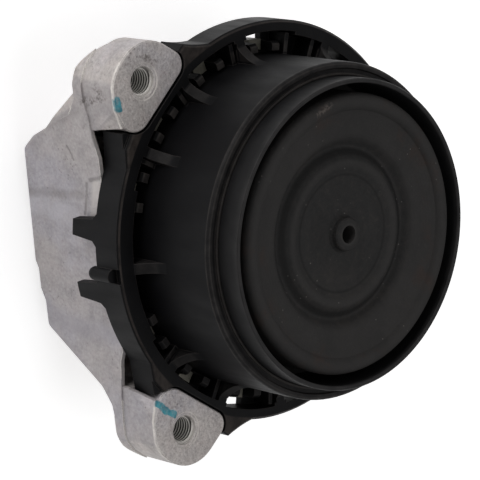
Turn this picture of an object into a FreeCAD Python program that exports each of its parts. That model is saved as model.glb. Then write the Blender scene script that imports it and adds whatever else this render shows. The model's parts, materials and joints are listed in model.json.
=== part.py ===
import FreeCAD, Part
import math
import os

# Hydraulic engine mount: a cast bracket, a moulded cup with a flange ring, and the rubber parts inside.
# The mount's axis is Z. The engine pad lies at z = 0 and the mouth of the cup faces up.
# The bracket's two fixing lugs are on the -Y side, in mirror image about the YZ plane.
# Sizes are in millimetres, and angles about Z are in degrees from -Y towards +X.

# Heights of the seats along the axis
overall_height = 97.0
shoulder_height = 87.8
ring_face_height = 56.65
rim_height = 45.0
bracket_bottom = 3.5

# Cup
cup_radius = 58.2
cup_wall = 3.0
cup_edge_radius = 1.2
shoulder_thickness = 3.4
shoulder_groove_width = 1.8
shoulder_groove_depth = 0.8
mouth_ridge_width = 0.7
mouth_ridge_height = 0.15

# Flange ring round the cup
pocket_width = 7.0
ring_wall = 5.0
pocket_radius = cup_radius + pocket_width
ring_radius = pocket_radius + ring_wall
front_pocket_step = 1.6
front_pocket_angle = 24.0
wide_pocket_step = 1.2
wide_pocket_starts = (62.6, 88.0)
wide_pocket_angle = 20.5
ring_edge_chamfer = 0.9
web_thickness = 2.6
gusset_thickness = 3.7
gusset_height = 9.9
gusset_sag = 1.3
gusset_angles = (0, 36, 60.6, 85.5, 122, 146, 180)
pocket_rib_angles = (33.2, 57.4, 82.0, 105.6, 117.0, 142.8, 174.0)
pocket_rib_thickness = 1.6
pocket_rib_drop = 0.9
bay_starts = (16.4, 39.6, 63.9, 88.9, 125.0, 151.0)
bay_angle = 12.2
bay_margin = 3.6
bay_inner_radius = cup_radius + bay_margin
finger_offsets = (2.6, 12.2)
finger_width = 3.2
finger_gap = 1.2
finger_depth = 3.2
finger_inner_radius = cup_radius + finger_gap
finger_drop = 0.8
key_offset = 4.9
key_angle = 5.2
key_depth = 3.8
key_inner_radius = finger_inner_radius
key_height = 5.5
key_root = 3.0
key_clearance = 0.35
lug_stub_high = 15.5
stub_overhang = 3.3
stub_width = 4.4
stub_flare = 7.5
stub_sag = 0.5
front_stub_inset = 8.9
front_stub_fall = 0.9
front_stub_end = 46.0
shelf_start = 40.5
shelf_run = 8.0
shelf_fall = 5.6
shelf_drop = 1.8

# Two tabs and a rib that reach back from the ring over the bracket's flat wall
tab_offset = 11.0
tab_centre = -2.5
tab_tip_width = 5.4
tab_root_width = 7.4
tab_length = 12.0
tab_flare = 1.8
tab_thickness = 3.0
rib_offset = 1.1
rib_radius = 2.4
rib_reach = 3.4
rib_stop = 3.65
notch_height = 3.2
notch_depth = 1.6

# Bracket
rim_margin = 3.1
rim_radius = cup_radius + rim_margin
bell_floor = 6.0
bell_wall = 5.6
bell_bottom_margin = 12.2
bell_bottom_radius = cup_radius - bell_bottom_margin
window_radius = 25.0
wall_inset = 6.4
wall_face = ring_radius - wall_inset
wall_thickness = 4.0
wall_back_edge = ((-36.9, 4.4), (4.0, 2.4), (7.0, 3.6), (14.0, 3.4), (18.5, 5.2), (27.5, 5.0))
slope_left_low = (-41.5, 10.0)
slope_left_high = (-45.0, 17.5)
slope_right = (46.0, 30.6)
slope_right_end = (52.0, 34.6)
block_depth = 42.0
wall_corner_radius = 3.0
wall_knee_radius = 1.5
wall_edge_radius = 1.6
facet_low = (-43.8, 15.0)
facet_top = (-51.0, 31.6)
facet_depth = 5.0
wall_drops_left = ((37.0, 0.0), (44.5, 2.1), (51.0, 2.8), (57.0, 4.5))
wall_drops_right = ((31.0, 0.0), (35.0, 1.7), (47.0, 3.5), (57.0, 4.5))
lug_set_back = 0.5
flank_start_left = 47.0
flank_start_right = 44.5
flank_fall = 2.2
flank_end_run = 6.7
flank_lip = 1.3
flank_taper = 0.25
flank_depth = 5.0
flank_clearance = 1.9
recess_flare = 1.5
recess_depth = 17.0
recess_wall = 1.6
back_hollow_depth = 20.0
back_rib_thickness = 5.0
rib_angles = (100, 140, 180, 220, 260)
rib_thickness = 5.0
rib_foot_margin = 4.0

# Fixing lugs
lug_angle = 50.9
hole_overhang = 9.1
lug_end_margin = 11.9
lug_bite = 2.2
hole_radius_position = ring_radius + hole_overhang
lug_inner = ring_radius - lug_bite
lug_outer = hole_radius_position + lug_end_margin
lug_low_side = -18.6
lug_high_side = 18.2
lug_low_taper = 6.6
lug_high_taper = 5.8
lug_low_corner = 7.0
lug_high_corner = 5.0
lug_outer_corner = 14.4
lug_face_drop = 0.25
lug_bottom = 36.0
lug_thin_bottom = 43.0
lug_ramp_start = 61.5
lug_ramp_end = 52.0
lug_step_height = 40.5
lug_step = 0.4
lug_edge_chamfer = 0.45
lug_clearance = 0.7
thread_radius = 5.0
thread_chamfer = 0.3
spot_radius = 6.3
spot_depth = 0.2
arm_low_side = -13.5
arm_high_side = 11.0
arm_foot = 8.0
arm_knee = (60.0, 19.0)

# Bellows and the ring that holds it
shoulder_width = 4.8
lip_wall = 1.6
lip_radius = cup_radius - shoulder_width
lip_bore = lip_radius - lip_wall
lip_chamfer = 0.4
mouth_clearance = 0.2
bellows_thickness = 2.0
bead_thickness = 4.0
bead_insert_thickness = 1.2
bead_insert_margin = 1.4
roll_gap = 3.5
roll_width = 5.9
roll_drop = 0.4
roll_radius = lip_bore - roll_gap
roll_inner_radius = roll_radius - roll_width
roll_height = overall_height - roll_drop
nub_radius = 5.75
nub_hole_radius = 3.1
nub_drop = 2.1
nub_height = overall_height - nub_drop
nub_hole_depth = 6.0

# Inertia track and membrane, stacked from the bracket's rim
spring_bead_height = 5.0
track_body_height = 7.5
track_cover_height = 9.5
track_bottom = rim_height + spring_bead_height
track_split = track_bottom + track_body_height
bellows_seat = track_split + track_cover_height + bead_thickness
track_clearance = 0.2
channel_margin = 10.2
channel_width = 10.0
channel_outer = cup_radius - channel_margin
channel_inner = channel_outer - channel_width
channel_floor = 2.5
port_radius = 3.0
membrane_margin = 7.0
membrane_radius = channel_inner - membrane_margin
membrane_thickness = 3.0
membrane_gap = 0.3
membrane_cavity = 1.0
slot_radius = 4.0
slot_inset = 12.0
slot_ring_radius = membrane_radius - slot_inset
slot_count = 6

# Rubber spring, its outer ring and the core
insert_margin = 3.4
insert_wall = 2.8
insert_height = 12.0
insert_flange_margin = 2.8
insert_flange_thickness = 2.4
insert_radius = cup_radius - insert_margin
insert_bottom = rim_height - insert_height
insert_flange_radius = rim_radius - insert_flange_margin
fit_clearance = 0.1
pad_radius = 20.0
pad_thickness = 6.0
stem_radius = 17.0
collar_radius = 30.0
collar_bottom = 13.0
collar_thickness = 3.2
cone_foot_radius = 24.0
cone_top_radius = 12.5
bead_lip = 14.0
core_height = 37.0
core_thread_radius = 6.0
core_thread_depth = 24.0
drill_point = 3.2
rubber_skin = 2.0
buffer_clearance = 0.5

UP = FreeCAD.Vector(0, 0, 1)
ORIGIN = FreeCAD.Vector(0, 0, 0)
REACH = 2 * ring_radius


def cylinder(radius, low, high, x=0, y=0):
    return Part.makeCylinder(radius, high - low, FreeCAD.Vector(x, y, low), UP)


def box(x, y, z):
    """A box between two values on each axis."""
    corner = FreeCAD.Vector(x[0], y[0], z[0])
    return Part.makeBox(x[1] - x[0], y[1] - y[0], z[1] - z[0], corner)


def turned(points):
    """A solid of revolution from an outline of (radius, height) points."""
    corners = [FreeCAD.Vector(radius, 0, height) for radius, height in points]
    outline = Part.makePolygon(corners + corners[:1])
    return Part.Face(outline).revolve(ORIGIN, UP, 360)


def standing(points, thickness):
    """A plate in the XZ plane, of (x, z) points, centred on that plane."""
    corners = [FreeCAD.Vector(x, -thickness / 2, z) for x, z in points]
    outline = Part.makePolygon(corners + corners[:1])
    return Part.Face(outline).extrude(FreeCAD.Vector(0, thickness, 0))


def upright(points, low, high):
    """A prism of (x, y) corners between two heights."""
    corners = [FreeCAD.Vector(x, y, low) for x, y in points]
    return Part.Face(Part.makePolygon(corners + corners[:1])).extrude(UP * (high - low))


def placed(shape, angle):
    """Turn a shape that was made along +X to an angle from -Y."""
    return shape.rotated(ORIGIN, UP, angle - 90)


def flat_face(*corners):
    """A flat face with the given corners."""
    return Part.Face(Part.makePolygon(list(corners) + [corners[0]]))


def faceted(low, high):
    """A solid between two polygons with matching corners, its sides made of flat triangles."""
    faces = [flat_face(*low), flat_face(*high)]
    for i in range(len(low)):
        faces.append(flat_face(low[i - 1], low[i], high[i]))
        faces.append(flat_face(low[i - 1], high[i], high[i - 1]))
    shell = Part.makeShell(faces)
    shell.sewShape()
    solid = Part.makeSolid(shell)
    return solid if solid.Volume > 0 else solid.reversed()


def mirrored(shape):
    """The shape's mirror image on the other side of the YZ plane."""
    return shape.mirror(ORIGIN, FreeCAD.Vector(1, 0, 0))


def mirrored_pair(shape):
    return [shape, mirrored(shape)]


def both_sides(angles):
    """Each angle and its mirror image, once each."""
    return sorted(set(angles) | {-angle for angle in angles if angle < 180})


def edges_at(shape, test):
    return [edge for edge in shape.Edges if test(edge)]


def rounded_plate(corners, radii, low, high):
    """An upright prism of (x, y) corners, each rounded with its own radius."""
    prism = upright(corners, low, high)
    for (x, y), radius in zip(corners, radii):
        point = FreeCAD.Vector(x, y, low)
        edges = edges_at(prism, lambda edge: edge.BoundBox.ZLength > (high - low) / 2
                         and edge.Vertexes[0].Point.distanceToLine(point, UP) < 1e-3)
        prism = prism.makeFillet(radius, edges)
    return prism


def lug_prism(low, high, grow=0.0):
    """A lug's outline between two heights, made along +X and grown all round."""
    corners = [(lug_inner - grow, lug_low_side - grow), (lug_outer + grow, lug_low_side + lug_low_taper - grow),
               (lug_outer + grow, lug_high_side - lug_high_taper + grow), (lug_inner - grow, lug_high_side + grow)]
    radii = (lug_low_corner + grow, lug_outer_corner + grow, lug_outer_corner + grow, lug_high_corner + grow)
    return rounded_plate(corners, radii, low, high)


def lug_boss():
    """A fixing lug along +X: the face, a small step down its side and a body."""
    face = ring_face_height - lug_face_drop
    upper = lug_prism(lug_step_height, face)
    rim = edges_at(upper, lambda edge: edge.BoundBox.ZMin > face - 1e-6)
    upper = upper.makeChamfer(lug_edge_chamfer, rim)
    return upper.fuse(lug_prism(lug_bottom, lug_step_height, lug_step))


def lug_ramp():
    """The cutter under both lugs that leaves them thinner away from the flat wall."""
    low = lug_bottom - 1
    run = lug_ramp_start - lug_ramp_end
    rise = lug_thin_bottom - lug_bottom
    corners = [(-lug_ramp_start - run / rise, low), (-lug_ramp_end, lug_thin_bottom),
               (0, lug_thin_bottom), (0, low)]
    points = [FreeCAD.Vector(-REACH, y, z) for y, z in corners]
    return Part.Face(Part.makePolygon(points + points[:1])).extrude(FreeCAD.Vector(2 * REACH, 0, 0))


def lug_arm():
    """The web under a lug that carries it down to the bell, made along +X."""
    root = bell_bottom_radius
    outline = [(root, rim_height), (lug_inner + 4, rim_height), (lug_inner + 8, lug_bottom),
               arm_knee, (root + 4, arm_foot), (root, arm_foot)]
    arm = standing(outline, arm_high_side - arm_low_side)
    arm.translate(FreeCAD.Vector(0, (arm_high_side + arm_low_side) / 2, 0))
    return arm


def threaded_hole():
    """The cutter for a lug's hole: thread, mouth chamfer and spot face."""
    face = ring_face_height - lug_face_drop
    mouth = thread_radius + thread_chamfer
    hole = cylinder(thread_radius, lug_bottom - 1, face + 1, hole_radius_position)
    bevel = Part.makeCone(thread_radius, mouth, thread_chamfer,
                          FreeCAD.Vector(hole_radius_position, 0, face - spot_depth - thread_chamfer), UP)
    spot = cylinder(spot_radius, face - spot_depth, face + 1, hole_radius_position)
    return hole.fuse([bevel, spot])


def bell_outline():
    """The bell's outside as (radius, height) points, from the rim to the back."""
    knee = rim_height - 9
    return [(rim_radius, rim_height), (rim_radius, knee), (rim_radius - 3.5, knee - 6),
            (bell_bottom_radius + 2.5, bracket_bottom + 3.5), (bell_bottom_radius, bracket_bottom)]


def bell_solid():
    return turned([(0, bracket_bottom), (0, rim_height)] + bell_outline())


def bell_cavity():
    """The space in the bell for the spring, with the seats of its outer ring."""
    seat = insert_radius + fit_clearance
    flange = insert_flange_radius + fit_clearance
    ledge = insert_radius - insert_wall + fit_clearance
    floor = bracket_bottom + bell_floor
    foot = bell_bottom_radius - bell_wall
    flange_bottom = rim_height - insert_flange_thickness
    return turned([(0, rim_height + 1), (flange, rim_height + 1), (flange, flange_bottom),
                   (seat, flange_bottom), (seat, insert_bottom), (ledge, insert_bottom),
                   (foot + 2.5, floor + 2.5), (foot, floor), (window_radius, floor),
                   (window_radius, 0), (0, 0)])


def lug_end():
    """How far the lugs' ends are from the YZ plane where they meet the flat wall."""
    angle = math.radians(lug_angle)
    return hole_radius_position * math.sin(angle)


def front_block():
    """The box with the flat wall on the -Y side, with sloping ends and a wavy back edge."""
    side = lug_end()
    back = list(wall_back_edge)
    outline = back[:1] + [slope_left_low, slope_left_high, (-side, lug_bottom), (-side, rim_height),
                          (side, rim_height), (side, lug_bottom), slope_right_end, slope_right] + back[:0:-1]
    block = standing(outline, block_depth)
    block.translate(FreeCAD.Vector(0, block_depth / 2 - wall_face, 0))
    bends = ((wall_corner_radius, (back[0], back[-1], slope_left_low, slope_right)),
             (wall_knee_radius, (slope_left_high, slope_right_end)))
    for radius, corners in bends:
        across = edges_at(block, lambda edge: edge.BoundBox.YLength > block_depth / 2
                          and any(abs(edge.CenterOfMass.x - x) < 1e-3 for x, z in corners))
        block = block.makeFillet(radius, across)
    front = edges_at(block, lambda edge: edge.BoundBox.YMax < -wall_face + 1e-3
                     and edge.BoundBox.ZMax < rim_height - 1e-3 and abs(edge.CenterOfMass.x) < side - 1)
    return block.makeFillet(wall_edge_radius, front)


def wall_facet():
    """The cutter for the slanting facet where the flat wall runs up to the -X lug."""
    low = FreeCAD.Vector(facet_low[0], -wall_face, facet_low[1])
    top = FreeCAD.Vector(facet_top[0], -wall_face, facet_top[1])
    far = FreeCAD.Vector(-lug_end(), -wall_face + facet_depth, lug_bottom - facet_depth)
    normal = (top - low).cross(far - low).normalize()
    if normal.y > 0:
        normal = normal * -1
    out = far + (far - low)
    corner = top + (far - low) * 2
    corners = [low, out, corner, top]
    face = Part.Face(Part.makePolygon(corners + corners[:1]))
    cutter = face.extrude(normal * wall_face)
    return cutter.cut(box((-REACH, 0), (-REACH, 0), (lug_bottom, overall_height)))


def over_wall_edge(depth):
    """Cutters for what stands over the wall's falling top edges, down to a depth behind its face."""
    cutters = []
    for side, drops in ((-1, wall_drops_left), (1, wall_drops_right)):
        outline = [(side * x, rim_height - drop) for x, drop in drops]
        outline = [(outline[0][0], overall_height)] + outline
        outline += [(side * REACH, outline[-1][1]), (side * REACH, overall_height)]
        cutter = standing(outline, 2 * depth)
        cutter.translate(FreeCAD.Vector(0, -wall_face, 0))
        cutters.append(cutter)
    return cutters


def wall_gaps():
    """Cutters that open the wall's top edge between its middle and the lugs."""
    left = -flank_start_left
    right = flank_start_right
    inner = -wall_face + wall_thickness
    middle = upright([(left, -REACH), (left, -wall_face), (left + recess_flare, inner),
                      (right - recess_flare, inner), (right, -wall_face), (right, -REACH)],
                     0, overall_height)
    return [cutter.common(middle) for cutter in over_wall_edge(wall_thickness)]


def lug_side_at(x):
    """Where a lug's side next to the flat wall is, at a distance from the YZ plane."""
    turn = FreeCAD.Rotation(UP, lug_angle - 90)
    near = turn.multVec(FreeCAD.Vector(lug_inner, lug_low_side, 0))
    far = turn.multVec(FreeCAD.Vector(lug_outer, lug_low_side + lug_low_taper, 0))
    return near.y + (far.y - near.y) * (x - near.x) / (far.x - near.x)


def lug_flank(start):
    """The drafted stretch from the flat wall's top edge up to the face of a lug."""
    front = -wall_face + lug_set_back
    bend = lug_end() - flank_end_run
    end = lug_end() - lug_edge_chamfer
    top_start = front_stub_end + flank_clearance
    root = max(start, top_start) + flank_taper
    back = front + flank_depth
    low = [(start - flank_taper, front + flank_lip), (start, front), (bend, front), (end, front),
           (end, back), (root, back), (root, front + flank_lip)]
    fall = flank_fall + flank_lip
    high = [(top_start - flank_taper, front + fall), (top_start, front + flank_fall),
            (bend, lug_side_at(bend)), (end, front), (end, back), (root, back), (root, front + fall)]
    top = ring_face_height - lug_face_drop - lug_edge_chamfer
    return faceted([FreeCAD.Vector(x, y, rim_height) for x, y in low],
                   [FreeCAD.Vector(x, y, top) for x, y in high])


def front_recess():
    """The gap between the flat wall and the bell, open at the top."""
    sides = (-flank_start_left, flank_start_right)
    inner_face = -wall_face + recess_wall
    gap = box(sides, (inner_face, -rim_radius / 2), (rim_height - recess_depth, rim_height + 1))
    return gap.cut(cylinder(rim_radius, 0, overall_height))


def back_hollows():
    """The hollows behind the flat wall, open at the back, with a rib between them."""
    inner_face = -wall_face + wall_thickness
    left = wall_back_edge[0][0] + wall_thickness
    right = wall_back_edge[-1][0] - wall_thickness
    hollow = box((left, right), (inner_face, -bell_bottom_radius / 2),
                 (bracket_bottom - 3, bracket_bottom + back_hollow_depth))
    middle = (left + right) / 2
    rib = box((middle - back_rib_thickness / 2, middle + back_rib_thickness / 2), (-REACH, 0),
              (bracket_bottom - 4, rim_height))
    return hollow.cut([rib, bell_solid()])


def bell_ribs():
    outline = [(window_radius + 4, rim_height - 1), (rim_radius, rim_height - 1), (rim_radius, rim_height - 9),
               (bell_bottom_radius + rib_foot_margin, bracket_bottom), (window_radius + 4, bracket_bottom)]
    return [placed(standing(outline, rib_thickness), angle) for angle in rib_angles]


def rim_keys():
    """Raised keys on the bell's rim that stand in the openings of the cup's flange."""
    radii = (key_inner_radius, key_inner_radius + key_depth)
    heights = (rim_height - key_root, rim_height + key_height)
    keys = [sector(radii, heights, start + key_offset, key_angle) for start in bay_starts]
    return [piece for key in keys for piece in mirrored_pair(key)]


def housing_bracket():
    """The die casting: bell, flat wall, ribs, keys and the two threaded lugs."""
    block = front_block().cut([front_recess(), back_hollows()] + wall_gaps())
    lugs = [lug.cut(lug_ramp()) for lug in mirrored_pair(placed(lug_boss(), lug_angle))]
    arms = mirrored_pair(placed(lug_arm(), lug_angle))
    beyond_wall = box((-REACH, REACH), (-REACH, -wall_face), (-1, overall_height))
    flanks = [mirrored(lug_flank(flank_start_left)), lug_flank(flank_start_right)]
    body = bell_solid().fuse(bell_ribs() + [block.fuse(arms).cut(wall_facet())] + lugs + flanks)
    body = body.cut([bell_cavity(), beyond_wall] + over_wall_edge(lug_set_back)).fuse(rim_keys())
    return body.cut(mirrored_pair(placed(threaded_hole(), lug_angle))).removeSplitter()


def cup_wall_solid():
    """The cup's wall and shoulder, turned, with the groove round the mouth."""
    inside = cup_radius - cup_wall
    mouth = lip_radius + mouth_clearance
    ridge = mouth + mouth_ridge_width
    groove = ridge + shoulder_groove_width
    under = shoulder_height - shoulder_thickness
    groove_floor = shoulder_height - shoulder_groove_depth
    cup = turned([(inside, rim_height), (cup_radius, rim_height), (cup_radius, shoulder_height),
                  (groove, shoulder_height), (groove - shoulder_groove_depth / 2, groove_floor),
                  (ridge, groove_floor), (ridge, shoulder_height + mouth_ridge_height),
                  (mouth, shoulder_height + mouth_ridge_height), (mouth, under), (inside, under)])
    outer = edges_at(cup, lambda edge: edge.BoundBox.ZMin > shoulder_height - 1e-6
                     and edge.BoundBox.XMax > cup_radius - 1e-6)
    return cup.makeFillet(cup_edge_radius, outer)


def front_stub():
    """The corner of the ring beside a lug, next to the flat wall, with a shelf in its upper edge."""
    front = ring_radius - front_stub_inset
    start = (math.sqrt(ring_radius ** 2 - front ** 2), -front)
    end = (front_stub_end, -front + front_stub_fall)
    inside = [(front_stub_end, -front + ring_wall * 3), (start[0], -front + ring_wall * 2)]
    shelf = ring_face_height - shelf_drop
    share = (shelf_start - start[0]) / (end[0] - start[0])
    turn = (shelf_start, -front + share * front_stub_fall)
    away = (shelf_start + shelf_run, turn[1] + shelf_fall)
    lower = upright([start, end] + inside, rim_height, shelf)
    upper = upright([start, turn, away] + inside, shelf, ring_face_height)
    rim = edges_at(upper, lambda edge: edge.BoundBox.ZMin > ring_face_height - 1e-6
                   and edge.CenterOfMass.y < away[1] - 1 and edge.CenterOfMass.x > start[0] + 0.1)
    return lower.fuse(upper.makeChamfer(ring_edge_chamfer, rim))


def back_stub():
    """The corner of the ring that fills in beyond a lug, made along +X."""
    start = lug_stub_high + lug_clearance
    tip = start + stub_width
    flare = tip + stub_flare
    root = math.sqrt(ring_radius ** 2 - flare ** 2)
    inner = root - 10
    stub_reach = ring_radius + stub_overhang
    low = FreeCAD.Vector(inner, start - 4, rim_height)
    corner = FreeCAD.Vector(stub_reach, start - 4, rim_height)
    outer = FreeCAD.Vector(stub_reach, tip, rim_height)
    bend = FreeCAD.Vector((stub_reach + root) / 2, (tip + flare) / 2 - stub_sag, rim_height)
    end = FreeCAD.Vector(root, flare, rim_height)
    back = FreeCAD.Vector(inner, flare, rim_height)
    edges = [Part.makeLine(low, corner), Part.makeLine(corner, outer), Part.Arc(outer, bend, end).toShape(),
             Part.makeLine(end, back), Part.makeLine(back, low)]
    stub = Part.Face(Part.Wire(edges)).extrude(UP * (ring_face_height - rim_height))
    rim = edges_at(stub, lambda edge: edge.BoundBox.ZMin > ring_face_height - 1e-6
                   and edge.CenterOfMass.x > root and edge.BoundBox.XMax > inner + 1)
    return stub.makeChamfer(ring_edge_chamfer, rim)


def ring_blank():
    """The flange ring with its stubs, scalloped round the lugs and bevelled at the edge."""
    bevel = ring_edge_chamfer
    disc = turned([(cup_radius - cup_wall, rim_height), (ring_radius, rim_height),
                   (ring_radius, ring_face_height - bevel), (ring_radius - bevel, ring_face_height),
                   (cup_radius - cup_wall, ring_face_height)])
    stubs = mirrored_pair(placed(back_stub(), lug_angle)) + mirrored_pair(front_stub())
    scallop = lug_prism(rim_height - 1, ring_face_height + 1, lug_clearance)
    return disc.fuse(stubs).cut(mirrored_pair(placed(scallop, lug_angle)))


def sector(radii, heights, start, angle):
    """Part of a ring that starts at an angle and covers another."""
    inner, outer = radii
    low, high = heights
    disc = Part.makeCylinder(outer, high - low, FreeCAD.Vector(0, 0, low), UP, angle)
    return placed(disc.cut(cylinder(inner, low - 1, high + 1)), start)


def ring_pocket(floor):
    """The annular space between cup and ring above a floor, wider beside the lugs."""
    outer = cylinder(pocket_radius, floor, ring_face_height + 1)
    front = sector((pocket_radius - front_pocket_step, ring_radius), (0, overall_height),
                   -front_pocket_angle, 2 * front_pocket_angle)
    radii = (bay_inner_radius, pocket_radius + wide_pocket_step)
    heights = (floor, ring_face_height + 1)
    wide = [sector(radii, heights, start, wide_pocket_angle) for start in wide_pocket_starts]
    wide += [sector(radii, heights, -start - wide_pocket_angle, wide_pocket_angle) for start in wide_pocket_starts]
    return outer.cut([front, cylinder(cup_radius, 0, overall_height)]).fuse(wide)


def bay_opening(start):
    """A bay over the web, as wide as the ring, with a deeper part for the bracket's key."""
    heights = (rim_height - 1, rim_height + web_thickness + 1)
    gap = sector((bay_inner_radius, ring_radius), heights, start, bay_angle)
    play = math.degrees(key_clearance / key_inner_radius)
    radii = (key_inner_radius - key_clearance, bay_inner_radius + 1)
    return gap.fuse(sector(radii, heights, start + key_offset - play, key_angle + 2 * play))


def bay_openings():
    """The openings through the web, held inside the pocket's own walls."""
    right = [bay_opening(start) for start in bay_starts]
    pieces = [piece for opening in right for piece in mirrored_pair(opening)]
    return ring_pocket(rim_height - 1).common(pieces)


def pocket_rib():
    """A thin radial rib across the pocket, made along +X."""
    half = pocket_rib_thickness / 2
    return box((cup_radius - cup_wall / 2, pocket_radius + 0.4), (-half, half),
               (rim_height, ring_face_height - pocket_rib_drop))


def gusset():
    """A web between the ring and the cup with a hollow front edge, made along +X."""
    half = gusset_thickness / 2
    foot = FreeCAD.Vector(cup_radius - cup_wall / 2, -half, rim_height)
    heel = FreeCAD.Vector(pocket_radius + 0.5, -half, rim_height)
    shoulder = FreeCAD.Vector(pocket_radius + 0.5, -half, ring_face_height)
    start = FreeCAD.Vector(pocket_radius - 1.5, -half, ring_face_height)
    top = FreeCAD.Vector(cup_radius, -half, ring_face_height + gusset_height)
    inside = FreeCAD.Vector(cup_radius - cup_wall / 2, -half, ring_face_height + gusset_height)
    chord = top - start
    normal = FreeCAD.Vector(chord.z, 0, -chord.x).normalize()
    middle = (start + top) * 0.5 - normal * gusset_sag
    edges = [Part.makeLine(foot, heel), Part.makeLine(heel, shoulder), Part.makeLine(shoulder, start),
             Part.Arc(start, middle, top).toShape(), Part.makeLine(top, inside), Part.makeLine(inside, foot)]
    return Part.Face(Part.Wire(edges)).extrude(FreeCAD.Vector(0, gusset_thickness, 0))


def finger():
    """A short upright finger on the web, made along +X."""
    half = finger_width / 2
    top = ring_face_height - finger_drop
    block = box((finger_inner_radius, finger_inner_radius + finger_depth), (-half, half), (rim_height, top))
    upper = edges_at(block, lambda edge: edge.BoundBox.ZMin > top - 1e-6 and edge.BoundBox.YLength > half
                     and edge.CenterOfMass.x > finger_inner_radius + 1)
    return block.makeChamfer(1.0, upper)


def ring_tab(side):
    """A tab that reaches back from the ring, cut to the ring's own curve."""
    centre = tab_centre + side * tab_offset
    tip = tab_tip_width / 2
    root = tab_root_width / 2
    outline = [(centre - tip, rim_height - tab_length), (centre + tip, rim_height - tab_length),
               (centre + root, rim_height - tab_flare), (centre + root + tab_flare, rim_height),
               (centre + root, rim_height + 1), (centre - root, rim_height + 1),
               (centre - root - tab_flare, rim_height), (centre - root, rim_height - tab_flare)]
    plate = standing(outline, ring_radius)
    plate.translate(FreeCAD.Vector(0, -ring_radius / 2 - tab_thickness, 0))
    shell = cylinder(ring_radius, rim_height - tab_length, rim_height + 1)
    shell = shell.cut(cylinder(ring_radius - tab_thickness, 0, overall_height))
    return plate.common(shell)


def ring_rib():
    """The round rib on the ring's outside, with a domed lower end."""
    y = -ring_radius
    low = rim_height - rib_reach + rib_radius
    dome = Part.makeSphere(rib_radius, FreeCAD.Vector(rib_offset, y, low))
    rib = cylinder(rib_radius, low, ring_face_height - rib_stop, rib_offset, y).fuse(dome)
    return rib.cut(cylinder(ring_radius - tab_thickness, 0, overall_height))


def rib_notch():
    half = rib_radius + 0.2
    low = ring_face_height - rib_stop
    depth = (-ring_radius - rib_radius, -ring_radius + notch_depth)
    return box((rib_offset - half, rib_offset + half), depth, (low, low + notch_height))


def cup_housing():
    """The one-piece moulding: cup, flange ring, gussets, fingers, tabs and rib."""
    gussets = [placed(gusset(), angle) for angle in both_sides(gusset_angles)]
    ribs = [placed(pocket_rib(), angle) for angle in both_sides(pocket_rib_angles)]
    finger_angles = [start + offset for start in bay_starts for offset in finger_offsets]
    fingers = [placed(finger(), angle) for angle in both_sides(finger_angles)]
    flange = ring_blank().cut([ring_pocket(rim_height + web_thickness), bay_openings()])
    cup = cup_wall_solid().fuse([flange] + gussets + ribs + fingers)
    cup = cup.fuse([ring_tab(-1), ring_tab(1), ring_rib()])
    scallop = lug_prism(rim_height - 1, ring_face_height + 1, lug_clearance)
    cup = cup.cut(mirrored_pair(placed(scallop, lug_angle)) + [rib_notch()])
    return cup.removeSplitter()


def bellows_retainer():
    """The ring that holds the bellows; its lip stands out of the cup's mouth."""
    top = overall_height
    foot = cup_radius - cup_wall - track_clearance
    under = shoulder_height - shoulder_thickness
    return turned([(lip_bore, bellows_seat), (foot, bellows_seat), (foot, under), (lip_radius, under),
                   (lip_radius, top - lip_chamfer), (lip_radius - lip_chamfer, top),
                   (lip_bore + lip_chamfer, top), (lip_bore, top - lip_chamfer)])


def bellows_crest():
    """The beads of the bellows as (radius, height) points, from nub to roll."""
    base = overall_height - 5.4
    return [(nub_radius + 2.2, base), (13.0, base + 0.1), (16.8, base + 0.5), (20.5, base + 0.1),
            (25.2, base + 1.2), (29.7, base - 1.5), (32.6, base + 0.8), (37.0, base + 2.0),
            (roll_inner_radius, base + 3.4)]


def bellows():
    """The rubber bellows: hollow nub, round beads, outer roll, and a clamped bead."""
    crest = [FreeCAD.Vector(radius, 0, height) for radius, height in bellows_crest()]
    curve = Part.BSplineCurve()
    curve.interpolate(crest)
    start, end = crest[0], crest[-1]
    roll_side = roll_height - 2.8
    summit = FreeCAD.Vector((roll_inner_radius + roll_radius) / 2 + 0.3, 0, roll_height)
    roll = Part.Arc(end, summit, FreeCAD.Vector(roll_radius, 0, roll_side)).toShape()
    inner_wall = roll_radius - bellows_thickness
    outer_foot = cup_radius - cup_wall - track_clearance
    bead_bottom = bellows_seat - bead_thickness
    under = crest[5].z - bellows_thickness
    hole_floor = nub_height - nub_hole_depth
    corners = [(roll_radius, roll_side), (roll_radius, bellows_seat), (outer_foot, bellows_seat),
               (outer_foot, bead_bottom), (inner_wall, bead_bottom), (inner_wall, roll_side),
               (inner_wall - 1.5, roll_height - bellows_thickness),
               (roll_inner_radius + 1, roll_height - bellows_thickness - 1.2), (crest[5].x + 3, under),
               (0, under), (0, hole_floor), (nub_hole_radius, hole_floor), (nub_hole_radius, nub_height),
               (nub_radius - 0.5, nub_height), (nub_radius, nub_height - 0.5),
               (nub_radius + 0.2, start.z + 1.2), (nub_radius + 0.8, start.z + 0.35), (start.x, start.z)]
    outline = Part.makePolygon([FreeCAD.Vector(radius, 0, height) for radius, height in corners])
    wire = Part.Wire([curve.toShape(), roll] + outline.Edges)
    solid = Part.Face(wire).revolve(ORIGIN, UP, 360)
    return solid.cut(bellows_bead_insert())


def bellows_bead_insert():
    """The flat metal ring that is moulded into the bead of the bellows."""
    middle = bellows_seat - bead_thickness / 2
    half = bead_insert_thickness / 2
    outer = cup_radius - cup_wall - track_clearance - bead_insert_margin
    inner = roll_radius - bellows_thickness + bead_insert_margin
    return cylinder(outer, middle - half, middle + half).cut(cylinder(inner, 0, overall_height))


def track_radius():
    return cup_radius - cup_wall - track_clearance


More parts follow.
